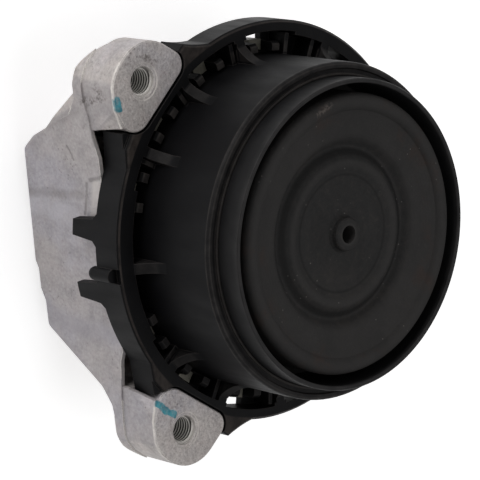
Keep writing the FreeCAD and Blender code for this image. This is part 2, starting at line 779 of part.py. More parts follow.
def ring_of_slots(low, high):
    """Round slots over the membrane, evenly spaced."""
    step = 360 / slot_count
    slot = cylinder(slot_radius, low, high, slot_ring_radius)
    return [slot.rotated(ORIGIN, UP, step * turn) for turn in range(slot_count)]


def track_body():
    """The lower half of the inertia track, with the channel and the membrane's seat."""
    body = cylinder(track_radius(), track_bottom, track_split)
    channel = cylinder(channel_outer, track_bottom + channel_floor, track_split + 1)
    channel = channel.cut(cylinder(channel_inner, track_bottom, track_split + 1))
    stop = placed(box((channel_inner - 1, channel_outer + 1), (-3, 3), (track_bottom, track_split)), 180)
    channel = channel.cut(stop)
    port = placed(cylinder(port_radius, track_bottom - 1, track_split, (channel_inner + channel_outer) / 2), 190)
    seat = cylinder(membrane_radius + membrane_gap, track_split - membrane_cavity - membrane_thickness, track_split + 1)
    return body.cut([channel, port, seat] + ring_of_slots(track_bottom - 1, track_split))


def track_cover():
    """The upper half of the inertia track, which closes the channel and the membrane's seat."""
    top = bellows_seat - bead_thickness
    cover = cylinder(track_radius(), track_split, top)
    hollow = cylinder(channel_inner, track_split + web_thickness, top + 1)
    port = placed(cylinder(port_radius, track_split - 1, top + 1, (channel_inner + channel_outer) / 2), 170)
    return cover.cut([hollow, port] + ring_of_slots(track_split - 1, top))


def decoupler_membrane():
    """The loose rubber disc between the two halves of the track, with a raised rim."""
    low = track_split - membrane_cavity - membrane_thickness
    rim = membrane_radius - 3
    thick = low + membrane_thickness + membrane_cavity - membrane_gap
    return turned([(0, low), (membrane_radius, low), (membrane_radius, thick), (rim, thick),
                   (rim - 1, low + membrane_thickness), (0, low + membrane_thickness)])


def spring_core():
    """The metal core: engine pad, stem, stop collar and bonded cone, with a blind thread."""
    collar_top = collar_bottom + collar_thickness
    core = turned([(0, 0), (pad_radius - 1, 0), (pad_radius, 1), (pad_radius, pad_thickness),
                   (stem_radius, pad_thickness + 2), (stem_radius, collar_bottom), (collar_radius, collar_bottom),
                   (collar_radius, collar_top), (cone_foot_radius, collar_top), (cone_top_radius, core_height),
                   (0, core_height)])
    hole = turned([(0, -1), (core_thread_radius + thread_chamfer, -1), (core_thread_radius + thread_chamfer, 0),
                   (core_thread_radius, thread_chamfer), (core_thread_radius, core_thread_depth),
                   (0, core_thread_depth + drill_point)])
    return core.cut(hole)


def main_spring():
    """The rubber cone between core and outer ring, with its sealing bead on top."""
    inner = insert_radius - insert_wall
    collar_top = collar_bottom + collar_thickness
    bead = track_radius()
    return turned([(0, core_height), (cone_top_radius, core_height), (cone_foot_radius, collar_top),
                   (collar_radius - 2, collar_top), (inner - 8, insert_bottom - 8), (inner, insert_bottom),
                   (inner, rim_height), (bead, rim_height), (bead, track_bottom), (inner - 4, track_bottom),
                   (inner - bead_lip, rim_height + 1), (cone_top_radius + 8, core_height - 2),
                   (cone_top_radius, core_height + rubber_skin), (0, core_height + rubber_skin)])


def spring_outer_ring():
    """The flanged metal ring that the rubber is bonded to."""
    inner = insert_radius - insert_wall
    flange_bottom = rim_height - insert_flange_thickness
    return turned([(inner, insert_bottom), (insert_radius, insert_bottom), (insert_radius, flange_bottom),
                   (insert_flange_radius, flange_bottom), (insert_flange_radius, rim_height),
                   (inner, rim_height)])


def rebound_buffer():
    """The rubber ring under the core's collar that meets the bell's floor on rebound."""
    low = bracket_bottom + bell_floor + buffer_clearance
    edge = collar_radius - 0.5
    return turned([(stem_radius, low + 1), (stem_radius + 2, low), (edge - 1, low), (edge, low + 1),
                   (edge, collar_bottom), (stem_radius, collar_bottom)])


PARTS = {
    "housing_bracket": housing_bracket,
    "cup_housing": cup_housing,
    "bellows_retainer": bellows_retainer,
    "bellows": bellows,
    "bellows_bead_insert": bellows_bead_insert,
    "track_cover": track_cover,
    "track_body": track_body,
    "decoupler_membrane": decoupler_membrane,
    "main_spring": main_spring,
    "spring_outer_ring": spring_outer_ring,
    "spring_core": spring_core,
    "rebound_buffer": rebound_buffer,
}

os.makedirs("parts", exist_ok=True)
for name, make in PARTS.items():
    shape = make()
    print(name, len(shape.Solids), shape.isValid(), round(shape.Volume), shape.BoundBox)
    shape.exportStep(f"parts/{name}.step")
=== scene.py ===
"""Looks of the hydraulic engine mount: camera, lights, materials and the threads in its holes."""

import json
import math

import bmesh
import bpy
from mathutils import Matrix, Vector


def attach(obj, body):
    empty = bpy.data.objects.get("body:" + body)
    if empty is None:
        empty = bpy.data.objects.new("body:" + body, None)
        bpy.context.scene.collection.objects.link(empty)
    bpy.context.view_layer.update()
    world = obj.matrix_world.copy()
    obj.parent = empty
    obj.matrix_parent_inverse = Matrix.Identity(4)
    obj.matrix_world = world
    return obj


MM = 0.001

# Camera, in millimetres in the part's frame, at the photo's viewing angle.
CAMERA_PLACE = (-274.55, -674.24, 805.93)
CAMERA_RIGHT = (0.1087, 0.7260, 0.6789)
CAMERA_FORWARD = (0.2677, 0.6360, -0.7234)
CAMERA_LENS = 225.0
CAMERA_SENSOR = 36.0
CLIP_NEAR = 10.0
CLIP_FAR = 20000.0

# Light and background: the lamps' target in millimetres, the floor's reach to each side in metres.
LAMP_TARGET = (0.0, -8.0, 50.0)
WORLD_STRENGTH = 0.36
FLOOR_REACH = 6.0
FLOOR_TONE = 0.86
FLOOR_GLOW = 0.6

# Rays per point in which rounded edges are looked for.
EDGE_SAMPLES = 6

# Threads, in millimetres. The wall is the part of the hole that takes the thread's tones.
LUG_PLACES = ((-61.54, -50.01), (61.54, -50.01))
LUG_THREAD = {"major": 5.0, "minor": 4.3, "pitch": 1.25, "bottom": 37.5, "top": 55.6,
              "wall_bottom": 36.0, "wall_top": 55.95}
CORE_PLACE = (0.0, 0.0)
CORE_THREAD = {"major": 6.0, "minor": 5.1, "pitch": 1.75, "bottom": 0.5, "top": 22.5,
               "wall_bottom": 0.35, "wall_top": 24.0}
THREAD_END = math.radians(140)
THREAD_STEPS = 48
THREAD_OVERLAP = 0.08
THREAD_SHARP = math.radians(40)

# Colours of the casting.
SKIN_COOL = (0.470, 0.448, 0.482)
SKIN_WARM = (0.500, 0.462, 0.444)
SKIN_RUDDY = (0.51, 0.432, 0.415)
SKIN_CLOUD = (0.345, 0.325, 0.325)
SKIN_BRIGHT = (0.66, 0.63, 0.62)
SKIN_DARK = (0.290, 0.268, 0.264)
PEEL_LIGHT = (0.66, 0.62, 0.60)
PEEL_DARK = (0.235, 0.215, 0.205)
SMUDGE = (0.15, 0.135, 0.125)
PIT = (0.12, 0.108, 0.10)
WALL_SHADE = (0.270, 0.258, 0.285)
VALLEY_SHADE = (0.345, 0.330, 0.362)
BAND_LIGHT = (0.53, 0.515, 0.55)
PATCH_LIGHT = (0.64, 0.60, 0.57)
CREASE_SHADE = (0.20, 0.185, 0.18)
LUG_STAIN = (0.10, 0.085, 0.078)
WORN_EDGE_HIGHLIGHT = (0.88, 0.84, 0.79)
GAP_SHADE = (0.060, 0.050, 0.042)
KEY_SHADE = (0.135, 0.130, 0.100)
MARK_DARK = (0.018, 0.17, 0.225)
MARK_LIGHT = (0.055, 0.32, 0.39)
THREAD_CREST = (0.85, 0.82, 0.78)
THREAD_ROOT_SHADE = (0.016, 0.013, 0.011)
THREAD_ROOT_LIT = (0.60, 0.57, 0.54)

# Colours of the mouldings.
CUP_DARK = (0.0034, 0.0034, 0.0040)
CUP_LIGHT = (0.0052, 0.0051, 0.0058)
CUP_EDGE = (0.054, 0.048, 0.046)
CUP_GLINT = (0.16, 0.13, 0.105)
SHOULDER_DUST = (0.0250, 0.0235, 0.0235)
SHOULDER_HIGHLIGHT = (0.042, 0.038, 0.036)
RIB_DUST = (0.0190, 0.0172, 0.0168)
FINGER_DUST = (0.038, 0.034, 0.032)
RIM_DUST = (0.046, 0.038, 0.034)
LIP_DARK = (0.0085, 0.0085, 0.0092)
LIP_LIGHT = (0.0125, 0.0122, 0.0128)
LIP_WEAR = (0.0270, 0.0260, 0.0262)
LIP_EDGE = (0.060, 0.056, 0.056)
TRACK_DARK = (0.009, 0.009, 0.0098)
TRACK_LIGHT = (0.0130, 0.0130, 0.0138)
TRACK_EDGE = (0.035, 0.035, 0.037)

# Colours of the rubber.
RUBBER_FINE = (0.036, 0.034, 0.033)
RUBBER_LIGHT = (0.040, 0.034, 0.031)
RUBBER_DARK = (0.0070, 0.0070, 0.0072)
RUBBER_SPECK = (0.15, 0.14, 0.13)
ROLL_DUST = (0.0250, 0.0235, 0.0229)
ROLL_BROWN = (0.0285, 0.0200, 0.0170)
ROLL_SCUFF = (0.11, 0.095, 0.085)
GROOVE_SHADE = (0.0042, 0.0040, 0.0040)
NUB_DUST = (0.034, 0.032, 0.031)
BELLOWS_BASE = (0.0130, 0.0127, 0.0127)
BELLOWS_BLOOM = (0.0208, 0.0188, 0.0177)
SPRING_BASE = (0.008, 0.008, 0.008)
SPRING_BLOOM = (0.014, 0.013, 0.012)
MEMBRANE_BASE = (0.0095, 0.0095, 0.0095)
MEMBRANE_BLOOM = (0.0145, 0.0135, 0.0125)

# Colours of the steel.
INSERT_BASE = (0.40, 0.39, 0.38)
INSERT_FILM = (0.30, 0.29, 0.28)
CORE_BASE = (0.36, 0.355, 0.35)
CORE_FILM = (0.26, 0.25, 0.245)

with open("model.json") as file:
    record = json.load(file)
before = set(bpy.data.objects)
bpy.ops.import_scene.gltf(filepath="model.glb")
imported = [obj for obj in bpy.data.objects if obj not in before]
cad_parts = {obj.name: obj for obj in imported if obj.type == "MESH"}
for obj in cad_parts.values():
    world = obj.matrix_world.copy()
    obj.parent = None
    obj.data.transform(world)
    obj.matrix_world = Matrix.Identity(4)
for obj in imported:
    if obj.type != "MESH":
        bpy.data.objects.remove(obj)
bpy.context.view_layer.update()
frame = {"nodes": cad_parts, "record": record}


def metres(point):
    return Vector(point) * MM


# Scene, camera and light


def camera_axes():
    forward = Vector(CAMERA_FORWARD).normalized()
    right = Vector(CAMERA_RIGHT)
    right = (right - forward * right.dot(forward)).normalized()
    up = right.cross(forward)
    return right, up, forward


def make_camera():
    right, up, forward = camera_axes()
    data = bpy.data.cameras.new("photo_camera")
    data.lens = CAMERA_LENS
    data.sensor_width = CAMERA_SENSOR
    data.sensor_fit = "HORIZONTAL"
    data.clip_start = CLIP_NEAR * MM
    data.clip_end = CLIP_FAR * MM
    camera = bpy.data.objects.new("photo_camera", data)
    turn = Matrix((right, up, -forward)).transposed().to_4x4()
    camera.matrix_world = Matrix.Translation(metres(CAMERA_PLACE)) @ turn
    bpy.context.collection.objects.link(camera)
    bpy.context.scene.camera = camera


def area_lamp(name, direction, distance, size, power, colour):
    """A square soft box, sizes in metres, that looks at the part from a direction."""
    data = bpy.data.lights.new(name, "AREA")
    data.shape = "SQUARE"
    data.size = size
    data.energy = power
    data.color = colour
    lamp = bpy.data.objects.new(name, data)
    away = Vector(direction).normalized()
    lamp.location = metres(LAMP_TARGET) + away * distance
    lamp.rotation_euler = away.to_track_quat("Z", "Y").to_euler()
    bpy.context.collection.objects.link(lamp)


def make_lights():
    right, up, forward = camera_axes()
    back = -forward
    area_lamp("key", up * 0.9 + back * 0.75 - right * 0.55,
              distance=1.3, size=0.9, power=10.0, colour=(1.0, 0.99, 0.985))
    area_lamp("fill", right * 0.8 + back * 0.6 - up * 0.3,
              distance=1.6, size=1.3, power=6.5, colour=(1.0, 0.995, 1.0))


def make_world():
    world = bpy.data.worlds.new("studio")
    world.use_nodes = True
    background = world.node_tree.nodes["Background"]
    background.inputs["Color"].default_value = (1.0, 1.0, 1.0, 1.0)
    background.inputs["Strength"].default_value = WORLD_STRENGTH
    bpy.context.scene.world = world


def background_rays(tree):
    """1 for the rays that show the background, seen directly, mirrored or through glass."""
    path = tree.nodes.new("ShaderNodeLightPath")
    share = path.outputs["Is Camera Ray"]
    for kind in ("Is Glossy Ray", "Is Transmission Ray"):
        larger = tree.nodes.new("ShaderNodeMath")
        larger.operation = "MAXIMUM"
        tree.links.new(share, larger.inputs[0])
        tree.links.new(path.outputs[kind], larger.inputs[1])
        share = larger.outputs[0]
    return share


def floor_material():
    """White that keeps a shadow: a pale diffuse colour and a glow for the background's rays."""
    material = bpy.data.materials.new("floor")
    material.use_nodes = True
    tree = material.node_tree
    tree.nodes.clear()
    output = tree.nodes.new("ShaderNodeOutputMaterial")
    diffuse = tree.nodes.new("ShaderNodeBsdfDiffuse")
    diffuse.inputs["Color"].default_value = (FLOOR_TONE, FLOOR_TONE, FLOOR_TONE, 1.0)
    glow = tree.nodes.new("ShaderNodeEmission")
    share = tree.nodes.new("ShaderNodeMath")
    share.operation = "MULTIPLY"
    share.inputs[1].default_value = FLOOR_GLOW
    tree.links.new(background_rays(tree), share.inputs[0])
    tree.links.new(share.outputs[0], glow.inputs["Strength"])
    added = tree.nodes.new("ShaderNodeAddShader")
    tree.links.new(diffuse.outputs[0], added.inputs[0])
    tree.links.new(glow.outputs[0], added.inputs[1])
    tree.links.new(added.outputs[0], output.inputs["Surface"])
    return material


def make_floor():
    """A wide white floor that the part rests on."""
    reach = FLOOR_REACH
    mesh = bpy.data.meshes.new("floor")
    corners = [(-reach, -reach, 0), (reach, -reach, 0), (reach, reach, 0), (-reach, reach, 0)]
    mesh.from_pydata(corners, [], [(0, 1, 2, 3)])
    floor = bpy.data.objects.new("floor", mesh)
    bpy.context.collection.objects.link(floor)
    mesh.materials.append(floor_material())


# Material nodes


class Graph:
    """A material's node tree with short calls for the nodes used here.

    A share is a value from 0 to 1 that says where something lies.
    """

    def __init__(self, name):
        self.material = bpy.data.materials.new(name)
        self.material.use_nodes = True
        self.tree = self.material.node_tree
        self.tree.nodes.clear()
        self.output = self.tree.nodes.new("ShaderNodeOutputMaterial")
        self.shader = self.tree.nodes.new("ShaderNodeBsdfPrincipled")
        self.tree.links.new(self.shader.outputs[0], self.output.inputs["Surface"])
        self.place = self.tree.nodes.new("ShaderNodeTexCoord").outputs["Object"]
        split = self.tree.nodes.new("ShaderNodeSeparateXYZ")
        self.tree.links.new(self.place, split.inputs[0])
        self.axes = {axis: split.outputs[axis] for axis in "XYZ"}
        # S is X without its sign, the same on both sides of the part.
        self.axes["S"] = self.math("ABSOLUTE", self.axes["X"])

    def feed(self, socket, value):
        """Links a socket, or sets it to a plain value."""
        if isinstance(value, bpy.types.NodeSocket):
            self.tree.links.new(value, socket)
        elif isinstance(value, tuple) and len(value) == 3 and socket.type == "RGBA":
            socket.default_value = (*value, 1.0)
        else:
            socket.default_value = value

    def set(self, name, value):
        self.feed(self.shader.inputs[name], value)

    def noise(self, scale, detail=3.0, roughness=0.5, distortion=0.0, place=None):
        """Noise with features of about 1/scale metres."""
        node = self.tree.nodes.new("ShaderNodeTexNoise")
        self.feed(node.inputs["Vector"], place or self.place)
        node.inputs["Scale"].default_value = scale
        node.inputs["Detail"].default_value = detail
        node.inputs["Roughness"].default_value = roughness
        node.inputs["Distortion"].default_value = distortion
        return node.outputs["Fac"]

    def cells(self, scale):
        """Distance to the nearest of many points strewn about 1/scale metres apart."""
        node = self.tree.nodes.new("ShaderNodeTexVoronoi")
        self.feed(node.inputs["Vector"], self.place)
        node.inputs["Scale"].default_value = scale
        return node.outputs["Distance"]

    def span(self, value, low, high, to_low=0.0, to_high=1.0):
        """Value between low and high, taken smoothly to a new range."""
        node = self.tree.nodes.new("ShaderNodeMapRange")
        node.interpolation_type = "SMOOTHSTEP"
        self.feed(node.inputs["Value"], value)
        node.inputs["From Min"].default_value = low
        node.inputs["From Max"].default_value = high
        node.inputs["To Min"].default_value = to_low
        node.inputs["To Max"].default_value = to_high
        return node.outputs["Result"]

    def math(self, operation, first, second=0.0):
        node = self.tree.nodes.new("ShaderNodeMath")
        node.operation = operation
        self.feed(node.inputs[0], first)
        self.feed(node.inputs[1], second)
        return node.outputs[0]

    def plus(self, total, value, factor):
        """A value times a factor, added to a total."""
        return self.math("ADD", total, self.math("MULTIPLY", value, factor))

    def mix(self, share, first, second):
        node = self.tree.nodes.new("ShaderNodeMix")
        node.data_type = "RGBA"
        self.feed(node.inputs["Factor"], share)
        self.feed(node.inputs[6], first)
        self.feed(node.inputs[7], second)
        return node.outputs[2]

    def stretched(self, scale):
        """The place, with its own scale along each axis."""
        node = self.tree.nodes.new("ShaderNodeMapping")
        self.feed(node.inputs["Vector"], self.place)
        node.inputs["Scale"].default_value = scale
        return node.outputs["Vector"]

    def length(self, *sides):
        """Length of the straight line that has these sides."""
        total = 0.0
        for side in sides:
            total = self.math("ADD", self.math("MULTIPLY", side, side), total)
        return self.math("SQRT", total)

    def radius(self):
        """Distance from the mount's axis."""
        return self.length(self.axes["X"], self.axes["Y"])

    def above(self, value, low, high):
        """0 where a length is below low, 1 where it is above high, both in millimetres."""
        return self.span(value, low * MM, high * MM)

    def below(self, value, low, high):
        """1 where a length is below low, 0 where it is above high, both in millimetres."""
        return self.span(value, low * MM, high * MM, 1.0, 0.0)

    def within(self, value, low, high, soft=0.1):
        """1 where a length lies between two limits in millimetres, 0 outside them."""
        return self.both(self.above(value, low - soft, low + soft),
                         self.below(value, high - soft, high + soft))

    def both(self, *shares):
        total = shares[0]
        for share in shares[1:]:
            total = self.math("MULTIPLY", total, share)
        return total

    def either(self, *shares):
        total = shares[0]
        for share in shares[1:]:
            total = self.math("MAXIMUM", total, share)
        return total

    def paint(self, share, colour, new_colour, strength=1.0):
        """Lays a new colour over the old one where share is 1."""
        return self.mix(self.math("MULTIPLY", share, strength), colour, new_colour)

    def soft_edge(self, radius):
        """Normal with each edge rounded by a radius in millimetres."""
        node = self.tree.nodes.new("ShaderNodeBevel")
        node.samples = EDGE_SAMPLES
        node.inputs["Radius"].default_value = radius * MM
        return node.outputs["Normal"]

    def edge_share(self, rounded, low, high):
        """1 on edges, 0 on plain surfaces."""
        geometry = self.tree.nodes.new("ShaderNodeNewGeometry")
        node = self.tree.nodes.new("ShaderNodeVectorMath")
        node.operation = "DOT_PRODUCT"
        self.feed(node.inputs[0], rounded)
        self.feed(node.inputs[1], geometry.outputs["Normal"])
        return self.span(self.math("SUBTRACT", 1.0, node.outputs["Value"]), low, high)

    def bump(self, height, distance, strength, normal):
        """Normal with a relief laid over it, its distance in millimetres."""
        node = self.tree.nodes.new("ShaderNodeBump")
        node.inputs["Strength"].default_value = strength
        node.inputs["Distance"].default_value = distance * MM
        self.feed(node.inputs["Height"], height)
        self.feed(node.inputs["Normal"], normal)
        return node.outputs["Normal"]


def shaken(graph, value, scale, wander):
    """A coordinate moved to and fro by a noise, so that a stroke drawn along it wanders."""
    shake = graph.math("SUBTRACT", graph.noise(scale, 3.0), 0.5)
    return graph.plus(value, shake, wander * MM)


def near_line(graph, axes, start, end, core, fade, wander=0.0):
    """1 near a straight stroke, 0 away from it; its ends are in millimetres along the two named axes."""
    first = graph.axes[axes[0]]
    second = graph.axes[axes[1]]
    if wander:
        first = shaken(graph, first, 600.0, wander)
        second = shaken(graph, second, 500.0, wander)
    run = Vector((end[0] - start[0], end[1] - start[1])) * MM
    length = run.length
    run.normalize()
    from_first = graph.math("SUBTRACT", first, start[0] * MM)
    from_second = graph.math("SUBTRACT", second, start[1] * MM)
    along = graph.plus(graph.math("MULTIPLY", from_first, run.x), from_second, run.y)
    along = graph.math("MINIMUM", graph.math("MAXIMUM", along, 0.0), length)
    off_first = graph.plus(from_first, along, -run.x)
    off_second = graph.plus(from_second, along, -run.y)
    return graph.below(graph.length(off_first, off_second), core, fade)


def near_path(graph, axes, points, core, fade, wander=0.0):
    """1 near a stroke through several points."""
    return graph.either(*[near_line(graph, axes, start, end, core, fade, wander)
                          for start, end in zip(points, points[1:])])


# Threads' looks


def thread_distance(graph, centre):
    """Distance from a thread's axis, the same for a thread and its mirror image on the other side."""
    side = graph.math("SUBTRACT", graph.axes["S"], abs(centre[0]) * MM)
    other = graph.math("SUBTRACT", graph.axes["Y"], centre[1] * MM)
    return graph.length(side, other)


def thread_zone(graph, distance, sizes):
    """1 on a threaded hole's wall and its thread, 0 elsewhere."""
    wall = graph.below(distance, sizes["major"] + 0.02, sizes["major"] + 0.07)
    return graph.both(wall, graph.within(graph.axes["Z"], sizes["wall_bottom"], sizes["wall_top"]))


def thread_tone(graph, distance, sizes):
    """Bright crests, and roots with painted light and shade: bright near the top and dark below."""
    top = sizes["wall_top"]
    # Painted light in the roots near the hole's mouth, painted shade deeper in.
    near_top = graph.above(graph.axes["Z"], top - 2.4, top - 0.9)
    root_shade = graph.mix(near_top, THREAD_ROOT_SHADE, THREAD_ROOT_LIT)
    root = graph.above(distance, sizes["major"] - 0.62, sizes["major"] - 0.36)
    return graph.mix(root, THREAD_CREST, root_shade)


# Casting


def cast_skin(graph, cloud, grain):
    """Mottled skin, from wide patches down to single grains."""
    tone = graph.noise(26.0, 3.0, 0.55)
    hue = graph.noise(260.0, 3.0, 0.6)
    colour = graph.mix(graph.span(tone, 0.38, 0.62), SKIN_COOL, SKIN_WARM)
    colour = graph.mix(graph.span(hue, 0.42, 0.7, 0.0, 0.35), colour, SKIN_RUDDY)
    colour = graph.mix(graph.span(cloud, 0.42, 0.66, 0.0, 0.45), colour, SKIN_CLOUD)
    colour = graph.mix(graph.span(grain, 0.46, 0.72, 0.0, 0.5), colour, SKIN_BRIGHT)
    return graph.mix(graph.span(grain, 0.30, 0.50, 0.45, 0.0), colour, SKIN_DARK)


def lug_faces(graph):
    """1 on the lugs' upper faces, 0 below them."""
    return graph.above(graph.axes["Z"], 55.3, 55.8)


def lug_peel(graph, colour):
    """Coarser light and dark spots on the lugs' upper faces."""
    face = lug_faces(graph)
    peel = graph.noise(1250.0, 4.0, 0.75)
    light = graph.span(peel, 0.50, 0.66)
    dark = graph.span(peel, 0.34, 0.50, 1.0, 0.0)
    colour = graph.paint(graph.both(face, light), colour, PEEL_LIGHT, 0.55)
    return graph.paint(graph.both(face, dark), colour, PEEL_DARK, 0.6)


def cast_pits(graph):
    """1 in small pits that stand in groups."""
    pits = graph.span(graph.cells(560.0), 0.10, 0.24, 1.0, 0.0)
    return graph.both(pits, graph.span(graph.noise(90.0, 2.0), 0.5, 0.64))


def flat_wall(graph):
    """1 on the casting's flat wall, 0 behind it."""
    return graph.below(graph.axes["Y"], -63.2, -62.5)


def wall_tones(graph, colour):
    """The flat wall's own shade, with painted shade that darkens a shallow valley and painted light on a
    light band and a bright patch.
    """
    wall = flat_wall(graph)
    colour = graph.paint(wall, colour, WALL_SHADE, 0.35)
    # Painted shade along a shallow valley in the wall.
    valley = near_path(graph, "XZ", ((19.0, 3.0), (24.5, 13.5), (25.3, 26.5), (25.7, 41.0)), 1.0, 6.5)
    colour = graph.paint(graph.both(wall, valley), colour, VALLEY_SHADE, 0.55)
    # Painted light on a band and on a patch of the wall.
    band = near_line(graph, "XZ", (-16.5, 6.0), (-15.5, 27.0), 1.5, 6.0)
    colour = graph.paint(graph.both(wall, band), colour, BAND_LIGHT, 0.35)
    patch = near_line(graph, "XZ", (-27.2, 42.4), (-17.0, 39.4), 1.2, 3.4, 1.2)
    return graph.paint(graph.both(wall, patch), colour, PATCH_LIGHT, 0.6)


def wall_creases(graph):
    """1 in the creases of the flat wall, less in the soft ones."""
    fold = near_path(graph, "XZ", ((-20.9, 5.0), (-22.2, 19.6), (-23.3, 34.1)), 0.2, 2.6, 1.6)
    slot = near_line(graph, "XZ", (-27.6, 37.3), (-16.6, 34.5), 0.1, 1.0, 0.8)
    notch = near_line(graph, "XZ", (-29.0, 39.0), (-30.7, 46.0), 0.2, 1.1, 1.0)
    crack = near_path(graph, "XZ", ((-40.0, 29.0), (-38.0, 30.6), (-35.3, 31.7)), 0.1, 0.7, 0.8)
    slope = near_path(graph, "XZ", ((-44.0, 14.0), (-49.6, 28.7), (-53.0, 37.0)), 0.2, 3.2, 2.0)
    soft = graph.either(graph.math("MULTIPLY", fold, 0.6), graph.math("MULTIPLY", slope, 0.45))
    return graph.both(flat_wall(graph), graph.either(soft, slot, notch, crack))


def lug_stains(graph, colour):
    """Dark stains on the two lugs, broken up by noise."""
    flank = near_path(graph, "XZ", ((-56.5, 40.0), (-57.0, 46.0), (-58.5, 50.5), (-62.0, 47.0)),
                      0.3, 2.4, 3.0)
    face = graph.both(near_line(graph, "XY", (-71.0, -49.5), (-67.0, -44.0), 0.3, 2.6, 3.0),
                      lug_faces(graph))
    broken = graph.span(graph.noise(520.0, 5.0, 0.75), 0.42, 0.62)
    return graph.paint(graph.both(graph.either(flank, face), broken), colour, LUG_STAIN, 0.75)


def worn_and_highlit_edges(graph, rounded):
    """1 on bright worn edges that also carry a painted highlight, and on an uneven painted highlight line
    along the lugs' front; edges beside the lugs are dull.
    """
    worn = graph.edge_share(rounded, 0.014, 0.10)
    beside = graph.within(graph.axes["S"], 41.0, 49.0, 0.5)
    left_flank = graph.both(graph.within(graph.axes["X"], -63.0, -49.0, 0.5),
                            graph.within(graph.axes["Z"], 34.0, 47.0))
    front = graph.below(graph.axes["Y"], -59.5, -59.0)
    dull = graph.both(graph.either(beside, left_flank), front)
    worn = graph.both(worn, graph.math("SUBTRACT", 1.0, dull))
    corners = ((70.3, -58.4), (66.9, -61.4), (62.3, -63.2), (55.0, -63.2), (47.9, -61.2))
    highlight_line = graph.both(near_path(graph, "SY", corners, 0.05, 0.42, 0.25),
                         graph.above(graph.axes["Z"], 55.2, 55.5))
    uneven = graph.span(graph.noise(330.0, 4.0, 0.65), 0.35, 0.65, 0.4, 0.95)
    return graph.either(worn, graph.both(highlight_line, uneven))


def recess_shade(graph, colour):
    """Painted shade in the gap behind the flat wall and on the rim's keys, which stand in the cup's flange.
    """
    gap = graph.both(graph.within(graph.axes["Y"], -61.8, -50.0, 0.3),
                     graph.within(graph.axes["Z"], 20.0, 45.1, 0.2),
                     graph.within(graph.axes["X"], -48.5, 38.5, 4.0))
    colour = graph.paint(gap, colour, GAP_SHADE, 0.85)
    keys = graph.both(graph.within(graph.axes["Z"], 45.3, 51.5),
                      graph.below(graph.radius(), 63.6, 63.8))
    return graph.paint(keys, colour, KEY_SHADE, 0.9)


def paint_marks(graph):
    """1 on the two marks of paint on the lugs' upper faces."""
    blob = near_line(graph, "XY", (-57.8, -61.9), (-55.1, -61.6), 1.1, 1.7, 1.8)
    streak = near_path(graph, "XY", ((48.7, -60.4), (52.0, -57.5), (54.6, -54.0)), 0.95, 1.5, 1.5)
    return graph.both(graph.either(blob, streak), lug_faces(graph))


def mark_paint(graph, marks, colour):
    """Blue-green paint, thin in places."""
    thin = graph.span(graph.noise(650.0, 3.0, 0.7), 0.32, 0.6, 0.72, 1.0)
    teal = graph.mix(graph.span(graph.noise(420.0, 2.0), 0.3, 0.7), MARK_DARK, MARK_LIGHT)
    return graph.mix(graph.both(marks, thin), colour, teal)


def cast_aluminium():
    """Cast skin with its marks; paint and threads don't shine like metal."""
    graph = Graph("cast_aluminium")
    cloud = graph.noise(125.0, 5.0, 0.62)
    grain = graph.noise(850.0, 4.0, 0.7)
    colour = lug_peel(graph, cast_skin(graph, cloud, grain))
    smudges = graph.span(graph.noise(150.0, 6.0, 0.7, 1.4), 0.61, 0.74)
    colour = graph.paint(smudges, colour, SMUDGE, 0.5)
    pits = cast_pits(graph)
    colour = graph.paint(pits, colour, PIT, 0.45)
    creases = wall_creases(graph)
    # Painted shade in the flat wall's creases.
    colour = graph.paint(creases, wall_tones(graph, colour), CREASE_SHADE, 0.55)
    colour = lug_stains(graph, colour)
    rounded = graph.soft_edge(0.6)
    # Worn edges with a painted highlight, and a painted highlight line along the lugs' front.
    colour = graph.paint(worn_and_highlit_edges(graph, rounded), colour, WORN_EDGE_HIGHLIGHT, 0.85)
    # Painted shade in the recess behind the wall and on the keys in the flange's bays.
    colour = recess_shade(graph, colour)
    distance = thread_distance(graph, LUG_PLACES[0])
    threaded = thread_zone(graph, distance, LUG_THREAD)
    colour = graph.paint(threaded, colour, thread_tone(graph, distance, LUG_THREAD))
    marks = paint_marks(graph)
    graph.set("Base Color", mark_paint(graph, marks, colour))
    graph.set("Metallic", graph.span(graph.either(marks, threaded), 0.0, 1.0, 0.5, 0.0))
    graph.set("Roughness", graph.span(cloud, 0.3, 0.7, 0.48, 0.64))
    height = graph.plus(graph.math("MULTIPLY", grain, 0.7), cloud, 1.8)
    height = graph.plus(height, pits, -0.7)
    height = graph.plus(height, creases, -1.2)
    graph.set("Normal", graph.bump(height, 0.24, 0.8, rounded))
    return graph.material


# Mouldings


def plastic_base(graph, dark, light):
    """Two close tones in wide patches."""
    return graph.mix(graph.span(graph.noise(45.0, 4.0, 0.6), 0.3, 0.7), dark, light)


def moulding(graph, colour, edge_colour, roughness, shine):
    """The finish that all the black mouldings share: specks, scuffed edges, fine grain and flow marks."""
    grain = graph.noise(2600.0, 2.0, 0.6)
    flow = graph.noise(1.0, 4.0, 0.6, place=graph.stretched((160.0, 160.0, 40.0)))
    specks = graph.both(graph.span(graph.cells(800.0), 0.05, 0.14, 1.0, 0.0),
                        graph.span(graph.noise(70.0, 2.0), 0.52, 0.7))
    colour = graph.paint(specks, colour, edge_colour, 0.5)
    rounded = graph.soft_edge(0.45)
    edge = graph.edge_share(rounded, 0.012, 0.10)
    scuffs = graph.span(graph.noise(140.0, 4.0, 0.65), 0.35, 0.65, 0.3, 0.9)
    colour = graph.paint(graph.both(edge, scuffs), colour, edge_colour)
    graph.set("Base Color", colour)
    graph.set("Roughness", graph.span(flow, 0.3, 0.7, *roughness))
    graph.set("Specular IOR Level", shine)
    graph.set("Normal", graph.bump(graph.plus(flow, grain, 0.5), 0.06, 0.7, rounded))
    return graph.material


